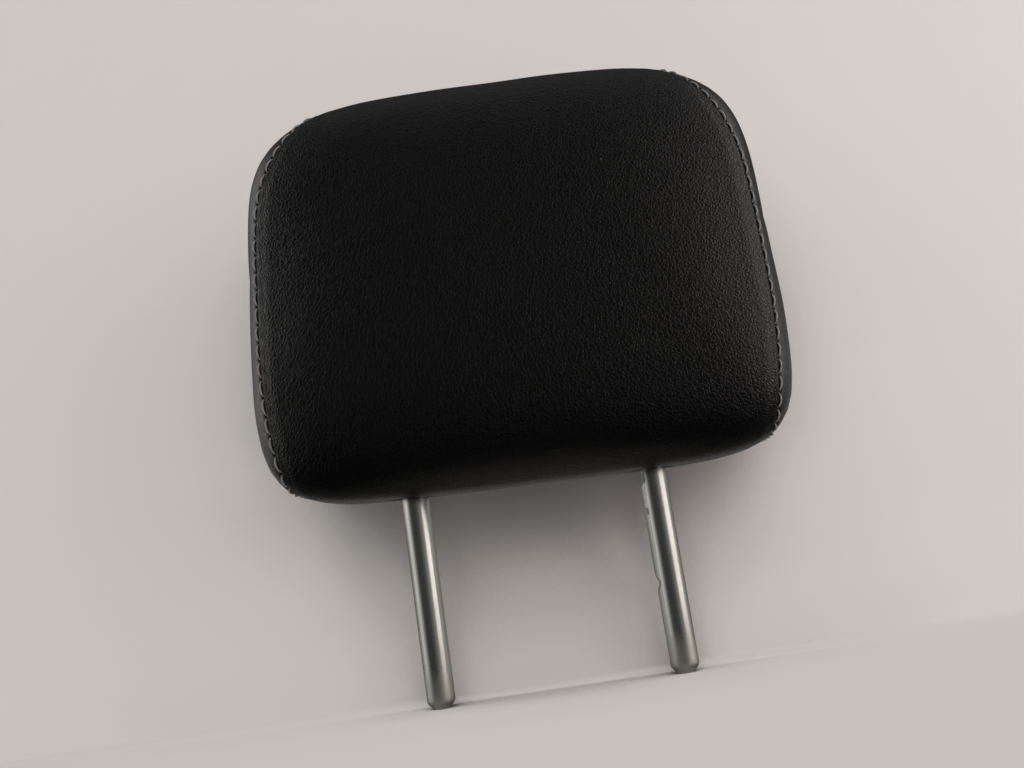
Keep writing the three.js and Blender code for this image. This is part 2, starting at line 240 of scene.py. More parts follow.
class Across:
    """Lengths over the surface from the pad's middle to its side, one row for each angle."""

    def __init__(self, pad, angles):
        self.pad = pad
        self.angles = angles
        self.reach = 1 - (1 - np.linspace(0, 1, ACROSS_SAMPLES)) ** 4  # closest together at the side
        points = pad_points(pad, angles[:, None], self.reach[None, :])
        steps = np.linalg.norm(np.diff(points, axis=1), axis=2)
        self.length = np.concatenate([np.zeros((len(angles), 1)), np.cumsum(steps, axis=1)], axis=1)
        seam = by_side(angles, SEAM_FACE, SEAM_TOP, SEAM_FACE, SEAM_BOTTOM)
        self.seam = np.array([np.interp(w, self.reach, row) for w, row in zip(seam, self.length)])
        self.side = self.length[:, -1]

    def points(self, lengths):
        """Surface points at lengths from the middle: below zero on the left half, above on the right."""
        reach = np.stack([
            np.interp(np.abs(want), row, self.reach) for want, row in zip(lengths, self.length)
        ])
        return pad_points(self.pad, self.angles[:, None], np.sign(lengths) * reach)

    def shares(self, lengths):
        """Share of the way from the middle (0) over the seam (0.5) to the side (1), with the sign kept."""
        size = np.abs(lengths)
        seam, side = self.seam[:, None], self.side[:, None]
        share = np.where(size < seam, 0.5 * size / seam, 0.5 + 0.5 * (size - seam) / (side - seam))
        return np.sign(lengths) * share

    def lengths(self, shares):
        """The inverse of shares, for one row of shares that all angles use."""
        size = np.abs(shares)[None, :]
        seam, side = self.seam[:, None], self.side[:, None]
        length = np.where(size < 0.5, 2 * size * seam, seam + (2 * size - 1) * (side - seam))
        return np.sign(shares)[None, :] * length


def grid_normals(points):
    """Unit normals of a grid that closes on itself along its rows: the cross product of its two steps."""
    round_step = np.roll(points, -1, axis=0) - np.roll(points, 1, axis=0)
    across_step = np.gradient(points, axis=1)
    normal = np.cross(round_step, across_step)
    return normal / np.maximum(np.linalg.norm(normal, axis=2, keepdims=True), 1e-12)


# Mesh helpers


def new_mesh_object(name, points, faces):
    """Smooth mesh object at the origin from points and faces."""
    mesh = bpy.data.meshes.new(name)
    mesh.from_pydata(np.asarray(points).reshape(-1, 3).tolist(), [], faces)
    mesh.validate()
    mesh.polygons.foreach_set("use_smooth", [True] * len(mesh.polygons))
    mesh.update()
    made = bpy.data.objects.new(name, mesh)
    bpy.context.scene.collection.objects.link(made)
    return made


def grid_faces(rows, columns, closed_rows=True):
    """Quads of a grid of points, rows by columns, closed on itself along its rows if asked."""
    last = rows if closed_rows else rows - 1
    r, c = np.meshgrid(np.arange(last), np.arange(columns - 1), indexing="ij")
    following = (r + 1) % rows
    quads = np.stack([r * columns + c, following * columns + c, following * columns + c + 1,
                      r * columns + c + 1], axis=-1)
    return quads.reshape(-1, 4).tolist()


def fan_faces(ring, tip, flipped=False):
    """Triangles from a closed ring of point numbers to one tip."""
    following = np.roll(ring, -1)
    fan = [[int(a), int(b), tip] for a, b in zip(ring, following)]
    return [face[::-1] for face in fan] if flipped else fan


def tube_faces(rings, sides):
    """Faces of a tube of rings, with fans to the two tips, whose points follow those of the rings."""
    ring, corner = np.meshgrid(np.arange(rings - 1), np.arange(sides), indexing="ij")
    here, following = ring * sides + corner, ring * sides + (corner + 1) % sides
    quads = np.stack([here, here + sides, following + sides, following], axis=-1).reshape(-1, 4).tolist()
    first, tip = np.arange(sides), rings * sides
    return quads + fan_faces(first, tip) + fan_faces(first + tip - sides, tip + 1, flipped=True)


def placed(pad, points):
    """Carries points from the pad's own place to the headrest's: a turn about Y and a shift."""
    c, s = math.cos(pad.skew), math.sin(pad.skew)
    x, y, z = points[..., 0], points[..., 1], points[..., 2]
    return np.stack([x * c + z * s + pad.shift, y, z * c - x * s + pad.centre_height], axis=-1)


# Padding

CLOTH_FRAMES = 20
CLOTH_SETTINGS = {
    "quality": 6, "mass": 0.4, "tension_stiffness": 18, "compression_stiffness": 18, "shear_stiffness": 8,
    "bending_stiffness": 4, "vertex_group_mass": "held", "use_pressure": True, "uniform_pressure_force": 4,
}


def cubic_weights(position):
    """Weights of the four nearest knots in a uniform cubic B-spline, and the first knot's number."""
    first = np.floor(position).astype(int)
    t = position - first
    weights = [(1 - t) ** 3, 3 * t**3 - 6 * t**2 + 4, -3 * t**3 + 3 * t**2 + 3 * t + 1, t**3]
    return first - 1, [w / 6 for w in weights]


def from_posts(world):
    """Distance of points from the axis of the nearer post."""
    return np.hypot(np.abs(world[..., 0]) - POST_X, world[..., 1])


class Padding:
    """How far each point of the cover is from the full form once the padding has swelled.

    A closed net of even squares starts a little below the full form. It is held along the two seams,
    the slit and round the posts, and air pressure swells it as cloth. The net's movement along the
    full form's normal, eased towards the swell limit by a hyperbolic tangent, is then read back
    between its points as a cubic spline.
    """

    def __init__(self, pad):
        arcs = np.arange(SIM_ROWS) / SIM_ROWS
        self.across = Across(pad, profile_angles(pad, arcs))
        self.share = np.linspace(-1, 1, SIM_COLUMNS + 1)
        full = self.across.points(self.across.lengths(self.share))
        normals = grid_normals(full)
        normals[:, 0] = (-1, 0, 0)
        normals[:, -1] = (1, 0, 0)
        start = full - normals * pad.sunk_start
        held = self.held_points(pad, full)
        settled = self.swell(pad, start, held)
        moved = ((settled - start) * normals).sum(axis=2, keepdims=True)
        self.offset = normals * (pad.swell_limit * np.tanh(moved / pad.swell_limit) - pad.sunk_start)

    def held_points(self, pad, full):
        """True where the net is held: at the seams, along the slit and round the posts."""
        seams = np.isclose(np.abs(self.share), 0.5)[None, :] & np.ones((SIM_ROWS, 1), bool)
        below = full[..., 2] < -UNDERSIDE * pad.drop
        along, aside = np.abs(full[..., 0]), np.abs(full[..., 1])
        slit = below & (aside < HELD_SLIT_WIDTH) & (along < HELD_SLIT_END)
        near_post = from_posts(placed(pad, full)) < HELD_POST_REACH
        return seams | slit | (below & near_post)

    def swell(self, pad, start, held):
        """Runs the cloth under pressure and returns the net's points."""
        inner = start[:, 1:-1]
        points = np.concatenate([inner.reshape(-1, 3), start[:1, 0], start[:1, -1]])
        columns = SIM_COLUMNS - 1
        count = SIM_ROWS * columns
        faces = grid_faces(SIM_ROWS, columns)
        rows = np.arange(SIM_ROWS) * columns
        faces += fan_faces(rows, count, flipped=True) + fan_faces(rows + columns - 1, count + 1)
        net = new_mesh_object("padding_net", points, faces)
        pins = net.vertex_groups.new(name="held")
        flat = np.concatenate([held[:, 1:-1].ravel(), [False, False]])
        pins.add(np.flatnonzero(flat).tolist(), 1.0, "REPLACE")
        cloth = net.modifiers.new("swell", "CLOTH")
        for name, value in CLOTH_SETTINGS.items():
            setattr(cloth.settings, name, value)
        cloth.settings.effector_weights.gravity = 0
        cloth.collision_settings.use_self_collision = False
        cloth.point_cache.frame_start, cloth.point_cache.frame_end = 1, CLOTH_FRAMES
        scene = bpy.context.scene
        for number in range(1, CLOTH_FRAMES + 1):
            scene.frame_set(number)
        done = net.evaluated_get(bpy.context.evaluated_depsgraph_get()).to_mesh()
        flat_points = np.empty(len(done.vertices) * 3)
        done.vertices.foreach_get("co", flat_points)
        settled = flat_points.reshape(-1, 3)
        scene.frame_set(1)
        bpy.data.objects.remove(net)
        out = np.empty_like(start)
        out[:, 1:-1] = settled[:count].reshape(SIM_ROWS, columns, 3)
        out[:, 0] = settled[count]
        out[:, -1] = settled[count + 1]
        return out

    def offsets(self, arcs, shares):
        """Offset from the full form at shares of the way round and across, as a smooth spline."""
        row, row_weights = cubic_weights(arcs * SIM_ROWS)
        column, column_weights = cubic_weights((shares + 1) / 2 * SIM_COLUMNS)
        total = np.zeros(shares.shape + (3,))
        for i, wr in enumerate(row_weights):
            rows = ((row + i) % SIM_ROWS)[:, None]
            for j, wc in enumerate(column_weights):
                columns = np.clip(column + j, 0, SIM_COLUMNS)
                total += (wr[:, None] * wc)[..., None] * self.offset[rows, columns]
        return total


_padding = {}


def padding_of(pad):
    """The padding for these settings, worked out once."""
    names = [name for name in pad.bl_rna.properties.keys() if name not in ("rna_type", "name")]
    key = str([np.round(getattr(pad, name), 6).tolist() for name in names])
    if key not in _padding:
        _padding[key] = Padding(pad)
    return _padding[key]


# Leather surface

CAD_PANELS = {"centre_panel": "cover_centre_panel", "left_side_panel": "cover_left_side",
              "right_side_panel": "cover_right_side"}


def bump_at(x, place, width):
    """A smooth bump of height 1 and the given half width."""
    return np.exp(-(((x - place) / width) ** 2))


def soft_noise(points, scale, seed):
    """Slow, smooth unevenness: a quarter of the sum of nine sine waves in seeded random directions."""
    rng = np.random.default_rng(seed)
    total = np.zeros(points.shape[:-1])
    for _ in range(9):
        wave = rng.normal(size=3)
        wave *= rng.uniform(0.6, 1.5) / np.linalg.norm(wave)
        total += np.sin(points @ wave * (2 * np.pi / scale) + rng.uniform(0, 2 * np.pi))
    return total / 4


def rolled_edge(distance):
    """Height of the turned-in edge beside a seam: a quarter circle less a cube, which dives into it."""
    near = np.clip(1 - distance / ROLL_RADIUS, 0, 1)
    return -ROLL_RADIUS * (1 - np.sqrt(1 - near**2)) - ROLL_EXTRA * near**3


def row_layout():
    """Shares of the way round at which the leather has rows, closer together beside the slit."""
    even = np.arange(ROWS) / ROWS
    fine = np.array([0.35, 0.8, 1.4]) * MM / GIRTH
    return np.unique(np.concatenate([even, fine, 1 - fine]))


def underside_features(pad, points):
    """Depth of the slit and of the dips round the posts, where the leather turns in."""
    below = points[..., 2] < -UNDERSIDE * pad.drop
    ends = np.clip((SLIT_END - np.abs(points[..., 0])) / SLIT_FADE, 0, 1)
    slit = SLIT_DEPTH * bump_at(points[..., 1], 0, SLIT_WIDTH)
    slit += SLIT_SAG * bump_at(points[..., 1], 0, SLIT_SAG_WIDTH)
    beside = np.maximum(from_posts(placed(pad, points)) - TUBE_RADIUS, 0)
    dip = DIP_DEPTH * bump_at(beside, 0, DIP_WIDTH)
    return np.where(below, -slit * ends - dip, 0)


def leather_surface(pad, arcs, lengths_of, detail_of):
    """Grid of leather points and their normals.

    Each point is the full form's, plus the padding's offset, plus the sewn detail along the normal.
    """
    across = Across(pad, profile_angles(pad, arcs))
    lengths = lengths_of(across)
    full = across.points(lengths)
    base = full + padding_of(pad).offsets(arcs, across.shares(lengths))
    normals = grid_normals(base) * np.sign(lengths[0, -1] - lengths[0, 0])
    height = detail_of(across, lengths, base)
    height = height + UNEVEN_HEIGHT * soft_noise(base, UNEVEN_SCALE, UNEVEN_SEED)
    return base + normals * height[..., None], normals


NEAR_SEAM = np.array([0, 0.08, 0.2, 0.4, 0.65, 0.95, 1.3, 1.7, 2.2, 2.7, 3.3, 4.0, 4.8, 5.7, 6.8, 8.2, 10,
                      12.4, 15.4, 19]) * MM
SIDE_NEAR_COLUMNS = 15
SIDE_CROWN = 0.2 * MM
FACE_COLUMNS, SIDE_COLUMNS = 25, 18


def face_lengths(across):
    """Columns of the centre panel, from the left seam to the right one, closer together at the seams."""
    near = across.seam[:, None] - SEAM_GAP - NEAR_SEAM[None, :]
    far = near[:, -1:] * (1 - np.arange(1, FACE_COLUMNS + 1) / FACE_COLUMNS)[None, :]
    half = np.concatenate([near, far], axis=1)
    return np.concatenate([-half, half[:, -2::-1]], axis=1)


class StitchLine:
    """Line beside one seam that the thread follows, with the length along it at each row.

    The pitch is fitted so that a whole number of stitches goes round.
    """

    def __init__(self, pad, side, pitch):
        offsets = np.array([-0.4, 0, 0.4]) * MM + STITCH_OFFSET
        self.arcs = row_layout()
        points, normals = leather_surface(
            pad, self.arcs, lambda across: side * (across.seam[:, None] + offsets), lambda *_: 0.0
        )
        self.points, self.lift = points[:, 1], normals[:, 1]
        self.aside = points[:, 2] - points[:, 0]
        self.aside /= np.linalg.norm(self.aside, axis=1, keepdims=True)
        steps = np.linalg.norm(np.roll(self.points, -1, axis=0) - self.points, axis=1)
        self.along = np.concatenate([[0], np.cumsum(steps)[:-1]])
        self.total = steps.sum()
        self.count = round(self.total / pitch)
        self.pitch = self.total / self.count

    def pull(self, arcs, from_line, from_seam):
        """Depth that the thread pulls into the leather: needle holes, and a pucker between them."""
        off = (np.interp(arcs, self.arcs, self.along) + self.pitch / 2) % self.pitch - self.pitch / 2
        holes = bump_at(off, 0, HOLE_LENGTH)[:, None] * bump_at(from_line, 0, HOLE_WIDTH)
        wave = np.cos(2 * np.pi * off / self.pitch)[:, None]
        return -HOLE_DEPTH * holes - PUCKER_DEPTH * wave * bump_at(from_seam, PUCKER_PLACE, PUCKER_WIDTH)


def stitch_lines(pad, stitching):
    """The two stitch lines by side: -1 left, 1 right."""
    return {-1: StitchLine(pad, -1, stitching.left_pitch), 1: StitchLine(pad, 1, stitching.pitch)}


def face_detail(lines, arcs):
    """Sewn detail of the centre panel: rolled edges, needle holes, puckers, slit and post dips."""

    def detail(across, lengths, base):
        from_seam = across.seam[:, None] - np.abs(lengths)
        height = rolled_edge(from_seam)
        for rise, place, width in FACE_SWELLS:
            height += rise * bump_at(from_seam, place, width)
        for side, line in lines.items():
            height += (np.sign(lengths) == side) * line.pull(arcs, from_seam + STITCH_OFFSET, from_seam)
        return height + underside_features(across.pad, base)

    return detail


def side_lengths(across):
    """Columns of a side panel, from the seam to the middle of the side."""
    near = across.seam[:, None] + SEAM_GAP + NEAR_SEAM[None, :SIDE_NEAR_COLUMNS]
    room = across.side[:, None] - near[:, -1:]
    far = near[:, -1:] + room * (np.arange(1, SIDE_COLUMNS) / SIDE_COLUMNS)[None, :]
    return np.concatenate([near, far], axis=1)


def side_detail(line, arcs):
    """Sewn detail of a side panel: the rolled edge beside its seam, a low swell, and the needle holes."""
    rise, place, width = SIDE_SWELL

    def detail(across, lengths, base):
        from_seam = np.abs(lengths) - across.seam[:, None]
        pull = line.pull(arcs, from_seam - STITCH_OFFSET, from_seam)
        return rolled_edge(from_seam) + rise * bump_at(from_seam, place, width) + pull

    return detail


def open_post_holes(points, faces):
    """Takes out the leather inside each post and draws the hole's rim onto a circle round the post."""
    rim = TUBE_RADIUS + POST_HOLE_CLEARANCE
    flat = points.reshape(-1, 3)
    for x in (-POST_X, POST_X):
        away = flat[:, :2] - (x, 0)
        distance = np.hypot(away[:, 0], away[:, 1])
        inside = (distance < rim) & (flat[:, 2] < POST_HOLE_LIMIT)
        faces = [face for face in faces if not inside[face].all()]
        flat[inside, :2] = (x, 0) + away[inside] * (rim / np.maximum(distance[inside], 1e-9))[:, None]
    used = np.unique(np.concatenate([np.array(face) for face in faces]))
    number = np.full(len(flat), -1)
    number[used] = np.arange(len(used))
    return flat[used], [number[face].tolist() for face in faces]


def leather_panel(name, points, faces, material):
    """Padded panel of leather that thickens inwards and stands for the CAD's panel of its kind."""
    panel = new_mesh_object(name, points, faces)
    solidify = panel.modifiers.new("thickness", "SOLIDIFY")
    solidify.thickness = settings().leather.thickness
    solidify.offset = -1
    finish_piece(panel, material, "leather", CAD_PANELS[name])


def finish_piece(piece, material, slot, *nodes):
    """Material, body and replaced nodes of a new piece. The slot is not used."""
    piece.data.materials.append(material)
    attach(piece, "root")
    if nodes:
        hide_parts(*nodes)


# Materials


def rgba(colour, factor=1.0):
    """A colour times a factor, with full opacity."""
    return (*[factor * part for part in colour], 1)


class Nodes:
    """Small helper that adds and links the nodes of one material, or of the world."""

    def __init__(self, name, world=False):
        self.owner = (bpy.data.worlds if world else bpy.data.materials).new(name)
        self.owner.use_nodes = True
        self.tree = self.owner.node_tree
        self.shader = self.tree.nodes["Background" if world else "Principled BSDF"]

    def add(self, kind, links=None, **values):
        """A node with its attributes, and with its sockets set or linked by name or number."""
        node = self.tree.nodes.new("ShaderNode" + kind)
        for key, value in values.items():
            setattr(node, key, value)
        for socket, value in (links or {}).items():
            self.set(node, socket, value)
        return node

    def set(self, node, socket, value):
        """Links an output to a socket, or sets the socket's own value."""
        target = node.inputs[socket]
        if isinstance(value, bpy.types.NodeSocket):
            self.tree.links.new(value, target)
        else:
            target.default_value = value

    def finish(self, **sockets):
        """Sets the shader's sockets by name, with spaces written as underscores."""
        for name, value in sockets.items():
            self.set(self.shader, name.replace("_", " "), value)
        return self.owner

    def surface(self, shader):
        """Uses another shader for the surface than the plain one."""
        self.set(self.tree.nodes["Material Output"], "Surface", shader)
        return self.owner

    def place(self, scale=(1, 1, 1)):
        """Object coordinates, stretched."""
        where = self.add("TexCoord").outputs["Object"]
        return self.add("Mapping", {"Vector": where, "Scale": scale}).outputs["Vector"]

    def slanted(self, stretch):
        """Object coordinates, stretched along a line that climbs to the right on the face."""
        where = self.add("TexCoord").outputs["Object"]
        turned = {"Vector": where, "Rotation": (0, GRAIN_SLANT, 0), "Scale": (1, 1, stretch)}
        return self.add("Mapping", turned, vector_type="TEXTURE").outputs["Vector"]

    def noise(self, where, size, detail=3.0, roughness=0.5):
        """Noise whose features have about the given size in metres."""
        values = {"Vector": where, "Scale": 1 / size, "Detail": detail, "Roughness": roughness}
        return self.add("TexNoise", values).outputs["Fac"]

    def ramp(self, value, *stops):
        """Colour ramp from pairs of place and colour, or place and grey value."""
        node = self.add("ValToRGB", {"Fac": value})
        elements = node.color_ramp.elements
        while len(elements) < len(stops):
            elements.new(0.5)
        for element, (place, colour) in zip(elements, stops):
            grey = isinstance(colour, (int, float))
            element.position = place
            element.color = (colour, colour, colour, 1) if grey else (*colour, 1)
        return node.outputs["Color"]

    def maths(self, kind, *values):
        """One mathematical step."""
        return self.add("Math", dict(enumerate(values)), operation=kind).outputs[0]

    def axis(self, vector, name):
        """One part of a vector: X, Y or Z."""
        return self.add("SeparateXYZ", {"Vector": vector}).outputs[name]

    def span(self, value, low, high, start=0.0, end=1.0, **values):
        """Share of the way that a value is from low to high, or a number from start to end."""
        sockets = {"Value": value, "From Min": low, "From Max": high, "To Min": start, "To Max": end}
        return self.add("MapRange", sockets, **values).outputs["Result"]

    def mix(self, share, a, b, blend="MIX"):
        """Mix of two colours."""
        return self.add("Mix", {0: share, 6: a, 7: b}, data_type="RGBA", blend_type=blend).outputs[2]

    def choose(self, share, a, b):
        """Mix of two shaders."""
        return self.add("MixShader", {0: share, 1: a, 2: b}).outputs[0]

    def bump(self, height, distance, strength=1.0, below=None):
        """Bump from a height, on top of another bump."""
        node = self.add("Bump", {"Height": height, "Distance": distance, "Strength": strength})
        if below is not None:
            self.set(node, "Normal", below)
        return node.outputs["Normal"]


# Leather: the slant of its grain, and the sizes and heights of pores, wrinkles and pebbles

GRAIN_SLANT = math.radians(52)
PORE_SIZE, PORE_HEIGHT = 0.4 * MM, 0.05 * MM
WRINKLE_SIZE, WRINKLE_HEIGHT = 3.2 * MM, 0.4 * MM
PEBBLE_HEIGHT, PEBBLE_DRIFT = 0.2 * MM, 1.1 * MM
CLOUD_SIZE = 35 * MM
LINT = (0.35, 0.35, 0.36, 1)


def leather_material(leather, name, grain, gloss):
    """Black leather: pebbles from cell edges, painted shade in their creases, finer pores, uneven polish,
    specks of lint.

    The grain scales the height of the pebbles and wrinkles, and the gloss the strength of reflections.
    """
    n = Nodes(name)
    where = n.slanted(1.2)
    drift = n.add("TexNoise", {"Vector": where, "Scale": 420.0, "Detail": 2.0}).outputs["Color"]
    moved = n.add("VectorMath", {0: drift, "Scale": PEBBLE_DRIFT}, operation="SCALE").outputs[0]
    warped = n.add("VectorMath", {0: where, 1: moved}, operation="ADD").outputs[0]
    cells = n.add("TexVoronoi", {"Vector": warped, "Scale": 1 / leather.grain_size},
                  feature="DISTANCE_TO_EDGE")
    pebble_and_crease_shade = n.ramp(cells.outputs["Distance"], (0.0, 0.25), (0.12, 0.62), (0.38, 1.0))
    pores = n.noise(where, PORE_SIZE, 2.0, 0.6)
    cloud = n.noise(where, CLOUD_SIZE, 4.0, 0.6)
    tone = n.mix(cloud, rgba(leather.colour), rgba(leather.colour, 1.5))
    # Painted shade: the tone darkens to 0.35 of the colour in the creases between the pebbles
    tone = n.mix(pebble_and_crease_shade, rgba(leather.colour, 0.35), tone)
    specks = n.add("TexVoronoi", {"Vector": where, "Scale": 120.0})
    chance = n.add("SeparateColor", {"Color": specks.outputs["Color"]}).outputs
    near = n.maths("LESS_THAN", specks.outputs["Distance"], n.maths("MULTIPLY", chance[1], 0.06))
    some = n.maths("GREATER_THAN", chance[0], 0.25)
    lint = n.maths("MULTIPLY", n.maths("MULTIPLY", near, some), n.maths("MULTIPLY", chance[2], 0.5))
    tone = n.mix(lint, tone, LINT)
    wrinkles = n.noise(n.slanted(2.0), WRINKLE_SIZE, 3.0, 0.6)
    rough = n.ramp(pebble_and_crease_shade, (0.25, 0.50), (1.0, 0.28))
    rough = n.mix(n.maths("MULTIPLY", cloud, 0.35), rough, (0.38, 0.38, 0.38, 1))
    normal = n.bump(pores, PORE_HEIGHT, 0.5)
    normal = n.bump(wrinkles, WRINKLE_HEIGHT * grain, 0.6, normal)
    normal = n.bump(pebble_and_crease_shade, PEBBLE_HEIGHT * grain, 1.0, normal)
    return n.finish(Base_Color=tone, Roughness=rough, Normal=normal, Specular_IOR_Level=gloss)


def thread_material(stitching):
    """Twisted polyester thread, pale grey, with painted shade in the grooves of the twist, which runs along
    the stitch's own map.
    """
    n = Nodes("stitch_thread")
    twist = n.add("UVMap", uv_map="twist").outputs["UV"]
    wave = n.add("TexWave", {"Vector": twist, "Scale": 1.0, "Distortion": 0.4}, bands_direction="DIAGONAL")
    # Painted shade: the thread darkens to 0.6 of its colour in the grooves of the twist
    tone = n.mix(wave.outputs["Fac"], rgba(stitching.colour, 0.6), rgba(stitching.colour))
    normal = n.bump(wave.outputs["Fac"], 0.1 * MM, 0.6)
    return n.finish(Base_Color=tone, Roughness=0.6, Normal=normal, Specular_IOR_Level=0.4)


def chrome_material(posts):
    """Chrome plating with fine rubbing marks, darker at grazing angles and duller near the posts' ends."""
    n = Nodes("post_chrome")
    where = n.place()
    cloud = n.noise(where, 4 * MM, 4.0, 0.6)
    uneven = n.maths("MULTIPLY_ADD", cloud, 14 * MM, n.axis(where, "Z"))
    share = n.span(uneven, posts.worn_height + 4 * MM, posts.worn_height + 12 * MM, 1.0, 0.0)
    streaks = n.noise(n.place((1, 1, 0.03)), 0.6 * MM, 3.0)
    marks = n.noise(n.place((1, 1, 0.15)), 2.2 * MM, 4.0, 0.65)
    red, green, blue = posts.colour
    tone = n.mix(share, rgba(posts.colour), (red, green, 0.97 * blue, 1))
    base_rough = n.ramp(marks, (0.35, 0.18), (0.8, 0.29))
    rough = n.mix(share, base_rough, n.ramp(marks, (0.35, 0.33), (0.7, 0.50)))
    normal = n.bump(streaks, 0.02 * MM, 0.35)
    return n.finish(Base_Color=tone, Roughness=rough, Normal=normal, Metallic=1.0,
                    Specular_Tint=(0.35, 0.35, 0.34, 1))


def foam_material():
    """Moulded foam: cream, with open cells and a faint skin."""
    n = Nodes("moulded_foam")
    where = n.place()
    cells = n.add("TexVoronoi", {"Vector": where, "Scale": 1100.0}).outputs["Distance"]
    cloud = n.noise(where, 20 * MM)
    tone = n.mix(cloud, (0.60, 0.52, 0.33, 1), (0.72, 0.66, 0.47, 1))
    return n.finish(Base_Color=tone, Roughness=0.95, Normal=n.bump(cells, 0.4 * MM, 0.7))


def moulded_material(name, colour, grain, rough):
    """Moulded plastic with a fine eroded texture."""
    n = Nodes(name)
    where = n.place()
    speckle = n.noise(where, grain, 4.0, 0.6)
    tone = n.mix(speckle, rgba(colour), rgba(colour, 1.5))
    uneven = n.ramp(n.noise(where, 12 * MM), (0.3, rough - 0.06), (0.7, rough + 0.06))
    return n.finish(Base_Color=tone, Roughness=uneven, Normal=n.bump(speckle, 0.06 * MM, 0.5))


def zinc_material():
    """Zinc-plated screw steel with a cloudy passivation."""
    n = Nodes("screw_zinc")
    where = n.place()
    cloud = n.noise(where, 3 * MM, 4.0)
    tone = n.mix(cloud, (0.46, 0.45, 0.38, 1), (0.56, 0.56, 0.58, 1))
    rough = n.ramp(cloud, (0.3, 0.28), (0.75, 0.48))
    return n.finish(Base_Color=tone, Roughness=rough, Metallic=1.0)


# Operators


def settings():
    """The headrest's settings on the scene."""
    return bpy.context.scene.headrest


class HEADREST_OT_centre_panel(bpy.types.Operator):
    """Leather band over the face, the top and the back, with its sewn edges, needle holes and slit."""

    bl_idname = "headrest.centre_panel"
    bl_label = "Centre panel"

    def execute(self, context):
        pad, arcs = settings().pad, row_layout()
        lines = stitch_lines(pad, settings().stitching)
        points, _ = leather_surface(pad, arcs, face_lengths, face_detail(lines, arcs))
        rows, columns = points.shape[:2]
        flat, faces = open_post_holes(placed(pad, points), grid_faces(rows, columns))
        leather_panel("centre_panel", flat, faces, grained_leather())
        return {"FINISHED"}


class HEADREST_OT_side_panels(bpy.types.Operator):
    """The two shaped leather panels that close the pad's ends."""

    bl_idname = "headrest.side_panels"
    bl_label = "Side panels"

    def execute(self, context):
        pad, arcs = settings().pad, row_layout()
        lines = stitch_lines(pad, settings().stitching)
        for side, name in ((-1, "left_side_panel"), (1, "right_side_panel")):
            points, _ = leather_surface(
                pad, arcs, lambda across: side * side_lengths(across), side_detail(lines[side], arcs)
            )
            rows, columns = points.shape[:2]
            tip = points[:, -1].mean(axis=0) + (side * SIDE_CROWN, 0, 0)
            flat = np.concatenate([placed(pad, points).reshape(-1, 3), placed(pad, tip)[None]])
            faces = grid_faces(rows, columns)
            ring = np.arange(rows) * columns + columns - 1
            faces += fan_faces(ring, rows * columns)
            if side < 0:
                faces = [face[::-1] for face in faces]
            leather_panel(name, flat, faces, smooth_leather())
        return {"FINISHED"}


# One stitch, from one needle hole to the next: shares of its pitch, and heights as shares of its radius

THREAD_START, THREAD_SHARE = 0.07, 0.86
THREAD_DIVE, THREAD_RISE, THREAD_TIP, SWELL_POWER = 1.2, 2.6, 0.55, 0.55
THREAD_BOW = 0.6 * MM
TWIST_STEP = 0.45


